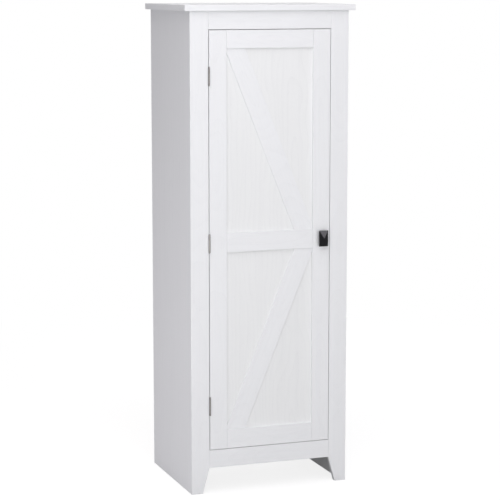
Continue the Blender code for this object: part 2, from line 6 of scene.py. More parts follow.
import bmesh
import bpy
from bpy.props import FloatProperty, FloatVectorProperty, IntProperty, PointerProperty
from mathutils import Matrix, Vector

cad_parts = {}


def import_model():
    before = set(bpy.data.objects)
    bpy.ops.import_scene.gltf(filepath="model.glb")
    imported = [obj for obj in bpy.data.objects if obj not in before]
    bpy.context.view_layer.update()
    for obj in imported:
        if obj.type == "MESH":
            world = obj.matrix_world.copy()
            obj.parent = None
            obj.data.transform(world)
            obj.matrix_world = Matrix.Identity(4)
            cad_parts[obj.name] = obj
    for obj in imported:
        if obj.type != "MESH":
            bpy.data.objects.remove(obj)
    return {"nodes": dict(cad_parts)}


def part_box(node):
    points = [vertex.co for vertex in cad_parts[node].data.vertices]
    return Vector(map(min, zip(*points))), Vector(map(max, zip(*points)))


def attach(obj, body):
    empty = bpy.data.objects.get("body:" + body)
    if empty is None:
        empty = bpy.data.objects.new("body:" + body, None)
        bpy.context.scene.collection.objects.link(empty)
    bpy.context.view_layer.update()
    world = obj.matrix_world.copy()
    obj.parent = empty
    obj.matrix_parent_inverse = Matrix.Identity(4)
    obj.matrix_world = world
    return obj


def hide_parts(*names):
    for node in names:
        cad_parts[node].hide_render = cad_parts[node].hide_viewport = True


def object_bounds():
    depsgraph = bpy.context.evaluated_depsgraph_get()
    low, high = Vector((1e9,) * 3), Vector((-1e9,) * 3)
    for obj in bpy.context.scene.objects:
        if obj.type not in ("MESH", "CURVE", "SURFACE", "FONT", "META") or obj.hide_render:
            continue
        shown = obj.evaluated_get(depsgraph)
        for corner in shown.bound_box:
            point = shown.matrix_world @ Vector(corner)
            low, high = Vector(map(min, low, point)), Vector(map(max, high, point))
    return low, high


bl_info = {
    "name": "Storage Cabinet",
    "version": (1, 0, 0),
    "blender": (4, 5, 0),
    "location": "3D View > Sidebar > Cabinet",
    "description": "Dresses the storage cabinet's model and sets up its studio",
    "category": "Object",
}

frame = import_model()
CAD_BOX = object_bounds()

X, Y, Z = Vector((1, 0, 0)), Vector((0, 1, 0)), Vector((0, 0, 1))
MIDDLE = (CAD_BOX[0] + CAD_BOX[1]) / 2

# How the braces run, and where the upper sides of the door's strips look
BRACE_LEAN = math.radians(21.9)
LEFT_LEAN = Vector((-math.sin(BRACE_LEAN), 0, math.cos(BRACE_LEAN)))
RIGHT_LEAN = Vector((math.sin(BRACE_LEAN), 0, math.cos(BRACE_LEAN)))
UPPER_SIDES = {
    "door_middle_rail": Z,
    "door_bottom_rail": Z,
    "door_upper_brace": Vector((LEFT_LEAN.z, 0, -LEFT_LEAN.x)),
    "door_lower_brace": Vector((-RIGHT_LEAN.z, 0, RIGHT_LEAN.x)),
}


# Settings


def length(name, description, default):
    """A length that a user may change."""
    return FloatProperty(name=name, description=description, default=default, unit="LENGTH")


def tint(name, description, default):
    """A colour that a user may change."""
    return FloatVectorProperty(
        name=name, description=description, default=default, subtype="COLOR", min=0, max=1
    )


def power(name, description, default):
    """A lamp's power that a user may change."""
    return FloatProperty(name=name, description=description, default=default, subtype="POWER")


class CabinetFoilSettings(bpy.types.PropertyGroup):
    """The embossed foil on the boards."""

    foil_colour: tint(
        "Foil Colour", "White of the foil between the grain lines", (0.846, 0.857, 0.866)
    )
    panel_colour: tint(
        "Panel Colour", "White of the foil on the door's board", (0.842, 0.852, 0.849)
    )
    # Painted shade: the top's upward face is greyer than the rest of the foil, for how the light
    # falls on it
    shaded_top_colour: tint(
        "Top Colour", "White of the foil on top of the cabinet", (0.718, 0.727, 0.735)
    )
    grain_colour: tint(
        "Grain Colour", "Tone at the bottom of the embossed grain", (0.60, 0.605, 0.63)
    )
    ring_width: length("Ring Width", "Distance between two growth rings of the figure", 0.009)
    relief: length("Relief", "Depth of the embossed grain", 0.00012)
    # Painted highlight: each edge gets a lighter line than the face, standing in for light that the
    # edges catch; this is its width
    edge_highlight_width: length("Edge Wear", "Width of the rubbed line along each edge", 0.0012)
    roughness: FloatProperty(
        name="Roughness", description="Roughness of the foil between the grain lines",
        default=0.58, min=0, max=1,
    )
    panel_sink: length(
        "Panel Sink", "How much farther back than its solid the door's panel lies", 0.002
    )
    brace_sink: length(
        "Brace Sink", "How far the braces' faces lie behind the rails' faces", 0.0035
    )


class CabinetHardwareSettings(bpy.types.PropertyGroup):
    """The hinges, the knob, the pins, the catch and the screws."""

    barrel_radius: length("Barrel Radius", "Outside radius of a hinge knuckle", 0.003)
    bore_radius: length("Bore Radius", "Radius of the hole through the knuckles", 0.0018)
    hinge_pin_radius: length("Hinge Pin Radius", "Radius of the hinge pin", 0.0015)
    tip_radius: length("Tip Radius", "Radius of the tips of the hinge pin", 0.0027)
    leaf_thickness: length("Leaf Thickness", "Thickness of a hinge leaf", 0.0008)
    leaf_gap: length("Leaf Gap", "Gap between two closed leaves", 0.0003)
    leaf_corner: length("Leaf Corner", "Radius of a leaf's outer corners", 0.0022)
    knuckle_gap: length("Knuckle Gap", "Gap between two knuckles", 0.0003)
    knuckle_count: IntProperty(
        name="Knuckle Count", description="Knuckles of both leaves together", default=5, min=3
    )
    screw_count: IntProperty(
        name="Screw Count", description="Screws in each leaf", default=3, min=1
    )
    screw_stagger: length("Screw Stagger", "How far the screws stand off the middle", 0.002)
    screw_radius: length("Screw Radius", "Radius of a small screw's shank", 0.0014)
    screw_head: length("Screw Head", "Radius of a small screw's head", 0.0028)
    knob_edge: length("Knob Edge", "Thickness of the knob's plate at its edge", 0.004)
    knob_neck: length("Knob Neck", "Width of the knob's neck behind the plate", 0.012)
    knob_foot: length("Knob Foot", "Width of the knob's neck at the door", 0.016)
    knob_rounding: length("Knob Rounding", "Radius of the knob's edges", 0.0006)
    shelf_pin_radius: length("Shelf Pin Radius", "Radius of a shelf pin's shank", 0.0024)
    shelf_pin_collar: length("Shelf Pin Collar", "Thickness of a shelf pin's collar", 0.0012)


class CabinetStudioSettings(bpy.types.PropertyGroup):
    """The camera, the lamps and the floor."""

    camera_place: FloatVectorProperty(
        name="Camera Place", description="Where the camera stands",
        default=(-2.0872, -5.8185, 1.7200), subtype="TRANSLATION", unit="LENGTH",
    )
    camera_turn: FloatProperty(
        name="Camera Turn", description="How far the camera turns to the right",
        default=math.radians(19.764), subtype="ANGLE",
    )
    camera_tilt: FloatProperty(
        name="Camera Tilt", description="How far the camera looks down",
        default=math.radians(8.530), subtype="ANGLE",
    )
    focal_length: FloatProperty(
        name="Focal Length", description="Focal length in millimetres on a 36 mm sensor",
        default=129.64,
    )
    floor_size: length("Floor Size", "Side of the square floor", 60.0)
    ambient: FloatProperty(
        name="Ambient", description="Strength of the even light from all round",
        default=0.27, min=0,
    )
    overhead_power: power("Overhead Power", "Power of the soft lamp almost overhead", 16.5)
    upper_left_power: power("Upper Left Power", "Power of the soft lamp up at the left", 6.0)
    high_power: power("High Power", "Power of the soft lamp high before the cabinet", 12.5)
    front_power: power("Front Power", "Power of the soft lamp low before the cabinet", 24.8)
    foot_power: power("Foot Power", "Power of the near lamp at the left foot", 6.5)
    side_power: power("Side Power", "Power of the near lamp low beside the cabinet", 8.4)
    glint_power: power(
        "Glint Power", "Power of the small lamp that the knob's upper facet mirrors", 7.0
    )
    rear_power: power("Rear Power", "Power of the soft lamp at the rear", 45.0)


# Finishes


def before(operation):
    """The method for a value that stands before the operator."""
    return lambda self, other: self.joined(operation, self, other)


def after(operation):
    """The method for a value that stands after the operator."""
    return lambda self, other: self.joined(operation, other, self)


class Quantity:
    """A socket's value, which can stand in sums such as 1 - mask * 0.5."""

    def __init__(self, finish, socket):
        self.finish = finish
        self.socket = socket

    def joined(self, operation, first, second):
        """The result of an operation on two values."""
        return self.finish.node(
            "ShaderNodeMath", {"operation": operation}, {0: first, 1: second}
        )

    def __abs__(self):
        return self.joined("ABSOLUTE", self, 0.0)

    __add__, __radd__ = before("ADD"), after("ADD")
    __sub__, __rsub__ = before("SUBTRACT"), after("SUBTRACT")
    __mul__, __rmul__ = before("MULTIPLY"), after("MULTIPLY")
    __truediv__, __rtruediv__ = before("DIVIDE"), after("DIVIDE")
    __pow__, __mod__ = before("POWER"), before("FLOORED_MODULO")
    least, most = before("MINIMUM"), before("MAXIMUM")


class Finish:
    """A material, or the world's look, that is put together node by node."""

    outputs = {"materials": "ShaderNodeOutputMaterial", "worlds": "ShaderNodeOutputWorld"}

    def __init__(self, name, kind="materials"):
        self.kind = kind
        self.owner = getattr(bpy.data, kind).new(name)
        self.owner.use_nodes = True
        self.tree = self.owner.node_tree
        self.tree.nodes.clear()

    def node(self, kind, settings=None, values=None, output=0):
        """Adds a node with its settings, then the values or links of its sockets."""
        made = self.tree.nodes.new(kind)
        for name, value in (settings or {}).items():
            setattr(made, name, value)
        for name, value in (values or {}).items():
            if isinstance(value, Quantity):
                self.tree.links.new(value.socket, made.inputs[name])
            else:
                made.inputs[name].default_value = value
        return Quantity(self, made.outputs[output])

    def place(self, centre=(0, 0, 0), turn=(0, 0, 0)):
        """The point on the piece, measured from centre along turned axes."""
        point = self.node("ShaderNodeTexCoord", output="Object")
        values = {"Vector": point, "Location": centre, "Rotation": turn}
        return self.node("ShaderNodeMapping", {"vector_type": "TEXTURE"}, values)

    def parts(self, point):
        """The three coordinates of a point."""
        first = self.node("ShaderNodeSeparateXYZ", None, {0: point})
        outputs = first.socket.node.outputs
        return [Quantity(self, outputs[i]) for i in range(3)]

    def noise(self, point, scale, shift=0.0, detail=2.0, rough=0.5):
        """Noise from 0 to 1 at a point, with a scale for each axis."""
        stretched = self.node(
            "ShaderNodeVectorMath", {"operation": "MULTIPLY_ADD"},
            {0: point, 1: scale, 2: (shift, shift * 0.7, shift * 1.3)},
        )
        values = {"Vector": stretched, "Scale": 1.0, "Detail": detail, "Roughness": rough}
        return self.node("ShaderNodeTexNoise", None, values)

    def step(self, value, low, high, start=0.0, end=1.0):
        """A smooth step from start to end as value goes from low to high."""
        values = {"Value": value, "From Min": low, "From Max": high, "To Min": start, "To Max": end}
        return self.node("ShaderNodeMapRange", {"interpolation_type": "SMOOTHSTEP"}, values)

    def mix(self, amount, first, second):
        """A colour between first and second."""
        values = {0: amount, 6: colour_value(first), 7: colour_value(second)}
        return self.node("ShaderNodeMix", {"data_type": "RGBA"}, values, output=2)

    def bump(self, height, depth, strength):
        """The normal of a surface with a relief of that depth."""
        values = {"Height": height, "Distance": depth, "Strength": strength}
        return self.node("ShaderNodeBump", None, values)

    def flat(self, grey):
        """A dull grey surface."""
        return self.node("ShaderNodeBsdfDiffuse", None, {"Color": (grey, grey, grey, 1)})

    def shining(self, kind, colour, strength):
        """A surface or sky that shines by itself."""
        return self.node(kind, None, {"Color": colour_value(colour), "Strength": strength})

    def blend(self, amount, first, second):
        """A shader between first and second."""
        return self.node("ShaderNodeMixShader", None, {0: amount, 1: first, 2: second})

    def seen(self):
        """1 where the camera, a reflection or a clear piece looks at the surface."""
        path = self.node("ShaderNodeLightPath", output="Is Camera Ray")
        outputs = path.socket.node.outputs
        mirrored = Quantity(self, outputs["Is Glossy Ray"])
        through = Quantity(self, outputs["Is Transmission Ray"])
        return path.most(mirrored).most(through)

    def surface(self, **sockets):
        """The closing shader. Sockets are named with underscores for spaces."""
        values = {name.replace("_", " "): value for name, value in sockets.items()}
        if "Base Color" in values:
            values["Base Color"] = colour_value(values["Base Color"])
        return self.shown(self.node("ShaderNodeBsdfPrincipled", None, values))

    def shown(self, shader):
        """Joins the closing shader to the output."""
        made = self.tree.nodes.new(self.outputs[self.kind])
        self.tree.links.new(shader.socket, made.inputs["Surface"])
        return self.owner


def colour_value(value):
    """A colour as a socket takes it, with its alpha."""
    return value if isinstance(value, Quantity) else (*value[:3], 1.0)


def foil_finish(
    name, low, high, along, through, white, seed, figure=1.0, heart=0.0, above=None
):
    """Embossed white foil on a board, with its grain in one direction and a painted highlight along
    its edges.

    The upward face can be given a greyer white of its own, a painted shade for how the light falls
    on the top.
    """
    look = bpy.context.scene.cabinet_foil
    finish = Finish(name)
    axes = Matrix((through.cross(along), through, along))
    point = finish.place((low + high) / 2, axes.transposed().to_euler())
    x, y, z = finish.parts(point)

    # Growth rings, cut by the face where the tree's heart lies just under it
    drift = finish.noise(point, (2.0, 2.0, 1.6), seed)
    wave = finish.noise(point, (14.0, 14.0, 3.0), seed + 3.1)
    across = (x - heart) * 0.55 + (wave - 0.5) * 0.035
    depth = y + (drift - 0.5) * 0.22
    ring = (across * across + depth * depth) ** 0.5 / look.ring_width
    late = (ring % 1.0) ** 3.0

    # The fine grain that the foil is embossed with
    fibre = finish.noise(point, (850.0, 850.0, 14.0), seed + 7.7, detail=3.0, rough=0.6)
    streak = finish.noise(point, (120.0, 120.0, 1.6), seed + 11.3, detail=3.0, rough=0.6)
    pore_noise = finish.noise(point, (1500.0, 1500.0, 70.0), seed + 5.9, detail=1.0)
    pore = finish.step(pore_noise, 0.60, 0.72) * (late * 0.6 + 0.4)

    # The middle one of the three distances to the sides is small only at an edge
    half = [abs(size) for size in axes @ ((high - low) / 2)]
    near = [size - abs(part) for size, part in zip(half, (x, y, z))]
    middle = near[0].least(near[1]).most(near[0].most(near[1]).least(near[2]))
    # Painted highlight: the foil is made lighter in a thin line along every edge
    edge = finish.step(middle, 0.0, look.edge_highlight_width, 1.0, 0.0)

    # Painted shade: the upward face gets the greyer white
    if above is not None:
        upward = finish.parts(finish.node("ShaderNodeNewGeometry", output="Normal"))[2]
        white = finish.mix(finish.step(upward, 0.7, 0.9), white, above)
    # The grain's tone, less a painted highlight at the edges
    grain_and_edge_highlight = late * (0.045 * figure) + streak * 0.17 + fibre * 0.05 + pore * 0.20 - edge * 0.10
    height = fibre * 0.35 - pore * 0.9 - late * (0.35 * figure)
    return finish.surface(
        Base_Color=finish.mix(grain_and_edge_highlight - 0.09, white, look.grain_colour),
        Roughness=look.roughness + streak * 0.08 + pore * 0.15 - edge * 0.08,
        Specular_IOR_Level=0.15,
        Normal=finish.bump(height, look.relief, 0.6),
    )


def fibreboard_finish(name):
    """Thin back board: white paper on the inside, bare brown board on the outside."""
    finish = Finish(name)
    point = finish.place()
    side = finish.parts(finish.node("ShaderNodeNewGeometry", output="Normal"))[1]
    rear = finish.step(side, 0.2, 0.6)
    felt = finish.noise(point, (260.0, 260.0, 260.0), 1.0, detail=4.0, rough=0.7)
    cloud = finish.noise(point, (9.0, 9.0, 9.0), 4.0, detail=3.0)
    bare = finish.mix(felt * 0.7 + cloud * 0.3, (0.44, 0.31, 0.19), (0.27, 0.17, 0.095))
    paper = finish.mix(cloud * 0.5, (0.80, 0.80, 0.82), (0.74, 0.74, 0.76))
    return finish.surface(
        Base_Color=finish.mix(rear, paper, bare),
        Roughness=0.55 + rear * 0.25,
        Normal=finish.bump(felt, 0.0001, 0.5),
    )


def plastic_finish(name):
    """White moulded plastic with a faint cloud and a fine mould texture."""
    finish = Finish(name)
    point = finish.place()
    cloud = finish.noise(point, (120.0, 120.0, 120.0), 2.0)
    spark = finish.noise(point, (3500.0, 3500.0, 3500.0), 5.0)
    return finish.surface(
        Base_Color=finish.mix(cloud, (0.80, 0.80, 0.79), (0.736, 0.736, 0.7268)),
        Roughness=0.32 + cloud * 0.12,
        Normal=finish.bump(spark, 0.00003, 0.5),
    )


def metal_finish(name, bright, dull, roughness):
    """Plated steel with fine lines across the piece and duller patches."""
    finish = Finish(name)
    point = finish.place()
    lines = finish.noise(point, (400.0, 400.0, 6000.0), 3.0, detail=3.0, rough=0.65)
    patch = finish.noise(point, (180.0, 180.0, 90.0), 8.0)
    return finish.surface(
        Base_Color=finish.mix(patch * 0.7 + lines * 0.3, bright, dull),
        Metallic=1.0,
        Roughness=roughness - 0.06 + lines * 0.12 + patch * 0.06,
        Normal=finish.bump(lines, 0.00002, 0.5),
    )


def cast_finish(name):
    """Black painted casting with a fine orange-peel surface."""
    finish = Finish(name)
    point = finish.place()
    peel = finish.noise(point, (900.0, 900.0, 900.0), 6.0, detail=3.0, rough=0.55)
    patch = finish.noise(point, (120.0, 120.0, 120.0), 9.0)
    return finish.surface(
        Base_Color=finish.mix(patch, (0.0020, 0.0018, 0.0030), (0.0035, 0.0032, 0.0048)),
        Roughness=0.12 + peel * 0.05,
        Specular_IOR_Level=0.175,
        Normal=finish.bump(peel, 0.00002, 0.3),
    )


def magnet_finish(name, low, high):
    """A dark magnet between two ground steel plates, one above and one below."""
    finish = Finish(name)
    point = finish.place((low + high) / 2)
    height = abs(finish.parts(point)[2])
    plate = finish.step(height, 0.0017, 0.0018)
    grind = finish.noise(point, (300.0, 300.0, 5000.0), 2.0, detail=3.0)
    steel = finish.mix(grind, (0.50, 0.50, 0.51), (0.34, 0.34, 0.35))
    dark = finish.mix(grind, (0.035, 0.034, 0.034), (0.060, 0.058, 0.057))
    return finish.surface(
        Base_Color=finish.mix(plate, dark, steel),
        Metallic=plate,
        Roughness=0.62 - plate * 0.26 + grind * 0.08,
        Normal=finish.bump(grind, 0.00002, 0.5),
    )


def dress(node, material):
    """Puts a finish on a CAD node."""
    for slot in frame["nodes"][node].material_slots:
        slot.material = material


# Shaping


# How near two levels and how alike two directions are to count as the same
NEAR = 1e-5
ALIGNED = 0.999


def let_go():
    """Leaves edit mode and deselects everything."""
    if bpy.context.object and bpy.context.object.mode != "OBJECT":
        bpy.ops.object.mode_set(mode="OBJECT")
    bpy.ops.object.select_all(action="DESELECT")


def take(piece):
    """Makes a piece the only selected one."""
    let_go()
    piece.select_set(True)
    bpy.context.view_layer.objects.active = piece


def block(name, low, high):
    """A box between two corners, ready to be shaped."""
    let_go()
    low, high = Vector(low), Vector(high)
    bpy.ops.mesh.primitive_cube_add(size=1, location=(low + high) / 2, scale=high - low)
    return settle(name)


def rod(name, start, end, radius, end_radius=None, sides=32):
    """A round bar or cone between two points, ready to be shaped."""
    let_go()
    start, end = Vector(start), Vector(end)
    bpy.ops.mesh.primitive_cone_add(
        vertices=sides, radius1=radius, radius2=radius if end_radius is None else end_radius,
        depth=(end - start).length, location=(start + end) / 2,
        rotation=(end - start).to_track_quat("Z", "Y").to_euler(),
    )
    return settle(name)


def settle(name):
    """Puts the new primitive's place, turn and size into its mesh."""
    piece = bpy.context.object
    piece.name = piece.data.name = name
    bpy.ops.object.transform_apply(location=True, rotation=True, scale=True)
    return piece


@contextlib.contextmanager
def shaping(piece):
    """Edit mode on one piece."""
    take(piece)
    bpy.ops.object.mode_set(mode="EDIT")
    yield
    bpy.ops.object.mode_set(mode="OBJECT")


def pick(kind, test):
    """Selects the corners, edges or faces that pass the test, and nothing else."""
    bpy.ops.mesh.select_mode(type=kind)
    bpy.ops.mesh.select_all(action="DESELECT")
    mesh = bpy.context.edit_object.data
    shape = bmesh.from_edit_mesh(mesh)
    shape.normal_update()
    items = {"VERT": shape.verts, "EDGE": shape.edges, "FACE": shape.faces}[kind]
    chosen = [item for item in items if test(item)]
    if not chosen:
        raise RuntimeError(f"{mesh.name} has nothing there to shape")
    for item in chosen:
        item.select_set(True)
    bmesh.update_edit_mesh(mesh)


def facing(direction, level=None):
    """A test for faces that look in a direction, at a level along it if one is given."""
    direction = Vector(direction)

    def test(face):
        height = face.calc_center_median().dot(direction)
        level_right = level is None or abs(height - level) < NEAR
        return level_right and face.normal.dot(direction) > ALIGNED

    return test


def running(direction, *levels):
    """A test for edges that run in a direction and lie at every given (axis, level)."""
    direction = Vector(direction)

    def test(edge):
        ends = [corner.co for corner in edge.verts]
        along = (ends[1] - ends[0]).normalized()
        at = all(abs(end[axis] - level) < NEAR for axis, level in levels for end in ends)
        return at and abs(along.dot(direction)) > ALIGNED

    return test


def rim(axis, level):
    """A test for edges whose two ends lie at one level."""
    return lambda edge: all(abs(corner.co[axis] - level) < NEAR for corner in edge.verts)


def either(*tests):
    """A test that passes what passes at least one of the tests."""
    return lambda item: any(test(item) for test in tests)


def push(offset):
    """Pulls the selected faces out into new ones."""
    bpy.ops.mesh.extrude_region_move(TRANSFORM_OT_translate={"value": Vector(offset)})


def swell(factors, centre):
    """Scales what is selected about a point."""
    bpy.ops.transform.resize(value=Vector(factors), center_override=Vector(centre))


def round_off(width, segments):
    """Rounds the selected edges."""
    bpy.ops.mesh.bevel(offset=width, segments=segments, affect="EDGES", profile=0.5)


def apply(piece, kind, **values):
    """Adds a modifier with its values and applies it."""
    take(piece)
    modifier = piece.modifiers.new("shape", kind)
    for name, value in values.items():
        setattr(modifier, name, value)
    bpy.ops.object.modifier_apply(modifier="shape")


def joined(piece, *tools, operation="UNION"):
    """Melts other pieces into this one."""
    for tool in tools:
        apply(piece, "BOOLEAN", operation=operation, solver="EXACT", object=tool)
        bpy.data.objects.remove(tool)
    return piece


def cut(piece, *tools):
    """Cuts other pieces out of this one."""
    return joined(piece, *tools, operation="DIFFERENCE")


def smooth(piece, degrees, weighted=True):
    """Smooth shading where faces meet at less than an angle, with the flat faces left flat."""
    take(piece)
    bpy.ops.object.shade_smooth_by_angle(angle=math.radians(degrees))
    if weighted:
        apply(piece, "WEIGHTED_NORMAL", keep_sharp=True)
    return piece


def copied(piece, name, matrix):
    """A copy with a mesh of its own, put in place by a matrix."""
    twin = bpy.data.objects.new(name, piece.data.copy())
    twin.data.name = name
    twin.data.transform(matrix)
    bpy.context.scene.collection.objects.link(twin)
    return twin


def mount(piece, material, slot, body, *nodes):
    """Gives a piece its finish and the body it rides on, and hides what it stands for."""
    piece.data.materials.clear()
    piece.data.materials.append(material)
    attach(piece, body)
    if nodes:
        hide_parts(*nodes)


def cross_tool(reach, depth, width):
    """The shape of a cross recess, with its mouth at the origin and its point below."""
    half = width / 2
    tool = block("cross_tool", (-half, -half, -depth), (half, half, depth))
    with shaping(tool):
        for side in (X, -X, Y, -Y):
            pick("FACE", facing(side, half))
            push(side * (reach - half))
        pick("VERT", lambda corner: corner.co.z < 0)
        swell((0.5, 0.5, 1), (0, 0, 0))
    return tool


def flush_screw(name, head, shank, head_depth, reach):
    """A countersunk screw that points down, with its head's face at the origin."""
    screw = rod(name, (0, 0, -head_depth), (0, 0, 0), shank, head, sides=24)
    with shaping(screw):
        pick("FACE", facing(-Z))
        push((0, 0, -reach * 0.8))
        push((0, 0, -reach * 0.2))
        swell((0.15, 0.15, 1), (0, 0, -head_depth - reach))
    cut(screw, cross_tool(reach=head * 0.52, depth=head_depth * 0.8, width=head * 0.2))
    return smooth(screw, 35, weighted=False)


def domed_screw(name, head, shank, head_height, reach):
    """A screw with a domed head that stands on the origin and points down."""
    screw = rod(name, (0, 0, 0), (0, 0, head_height), head)
    with shaping(screw):
        pick("EDGE", rim(2, head_height))
        round_off(head_height * 0.75, 4)
        pick("FACE", facing(-Z, 0))
        bpy.ops.mesh.inset(thickness=head - shank)
        push((0, 0, -reach))
    tool = cross_tool(reach=head * 0.5, depth=head_height * 0.7, width=head * 0.2)
    tool.data.transform(Matrix.Translation((0, 0, head_height)))
    cut(screw, tool)
    return smooth(screw, 35, weighted=False)


def aimed(point, direction):
    """The matrix that stands a screw on a point with its head looking in a direction."""
    turn = Vector(direction).to_track_quat("Z", "Y").to_matrix().to_4x4()
    return Matrix.Translation(point) @ turn


# Operators


# The door's strips: the gap in which corners are merged, how far below a strip's upper side
# its rear chamfer ends, and the seam that is left open
MERGE_DISTANCE = 1e-5
CHAMFER_REACH = 0.0006
SEAM_GAP = 0.00002


class CABINET_OT_wrap_boards(bpy.types.Operator):
    """Wrap every board in foil, each with its own grain"""

    bl_idname = "cabinet.wrap_boards"
    bl_label = "Wrap Boards"

    def execute(self, context):
        look = context.scene.cabinet_foil
        level = ["top_panel", "bottom_panel", "fixed_shelf"]
        level += [f"adjustable_shelf_{i}" for i in (1, 2, 3)]
        boards = {name: (X, Z) for name in level}
        boards |= {name: (Z, X) for name in ("left_side_panel", "right_side_panel")}
        upright = ["frame_left_stile", "frame_right_stile", "door_board"]
        boards |= {name: (Z, Y) for name in upright + ["door_hinge_stile", "door_latch_stile"]}
        rails = ["frame_top_rail", "frame_bottom_rail"]
        rails += [f"door_{i}_rail" for i in ("top", "middle", "bottom")]
        boards |= {name: (X, Y) for name in rails}
        boards |= {"door_upper_brace": (LEFT_LEAN, Y), "door_lower_brace": (RIGHT_LEAN, Y)}
        for number, (name, (along, through)) in enumerate(sorted(boards.items())):
            low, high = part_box(name)
            own = {"white": look.foil_colour, "seed": 2.7 * number}
            if name == "door_board":
                own = {"white": look.panel_colour, "seed": 73.0, "figure": 1.6, "heart": 0.09}
            if name == "top_panel":
                # The top panel's upward face is painted in shade
                own["above"] = look.shaded_top_colour
            finish = foil_finish(f"foil_{name}", low, high, along, through, **own)
            if name.startswith("door_"):
                self.lay(name, finish, look)
            else:
                dress(name, finish)
        return {"FINISHED"}

    def lay(self, name, finish, look):
        """A board or strip of the door, with the panel's face farther behind the rails' faces."""
        low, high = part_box(name)
        middle = (low.y + high.y) / 2
        piece = copied(frame["nodes"][name], f"{name}_wrapped", Matrix())
        with shaping(piece):
            bpy.ops.mesh.select_all(action="SELECT")
            bpy.ops.mesh.remove_doubles(threshold=MERGE_DISTANCE)
            is_panel = name == "door_board"
            pick("VERT", lambda corner: (corner.co.y < middle) == is_panel)
            bpy.ops.transform.translate(value=(0, look.panel_sink, 0))
            if name in UPPER_SIDES:
                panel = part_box("door_board")[0].y + look.panel_sink
                self.seat(piece, UPPER_SIDES[name], middle, panel)
            if "brace" in name:
                pick("VERT", lambda corner: corner.co.y < middle)
                bpy.ops.transform.translate(value=(0, look.brace_sink, 0))
        mount(piece, finish, "white_grained_board", "door", name)

    def seat(self, piece, upward, middle, panel):
        """Closes the seam between a strip's upper side and the panel."""
        corners = bmesh.from_edit_mesh(piece.data).verts
        top = max(corner.co.dot(upward) for corner in corners)
        chamfer = top - CHAMFER_REACH
        pick("VERT", lambda corner: corner.co.y > middle and corner.co.dot(upward) > chamfer)
        swell((1, 0, 1), (0, panel - SEAM_GAP, 0))


class CABINET_OT_finish_back(bpy.types.Operator):
    """Finish the thin back boards and the strip that joins them"""

    bl_idname = "cabinet.finish_back"
    bl_label = "Finish Back"

    def execute(self, context):
        board = fibreboard_finish("back_fibreboard")
        dress("back_panel_lower", board)
        dress("back_panel_upper", board)
        dress("back_joiner_strip", plastic_finish("white_moulded_plastic"))
        return {"FINISHED"}


# The hinges: the step from a barrel to its leaf, the neck between them, the pin's tips, and
# the sinks with their screws, whose heads stay a hair clear of the faces
LEAF_STEP = 0.0006
NECK_WALL = 0.0004
NECK_OVERLAP = 0.003
KNUCKLE_ROUNDING = 0.00025
TIP_GAP = 0.0003
TIP_LENGTH = 0.0018
TIP_ROUNDING = 0.0013
LEAF_SCREW_DEPTH = 0.0009
LEAF_SCREW_REACH = 0.012
SINK_GAP = 0.0001
SINK_LEAD = 0.0006
SCREW_GAP = 0.00005


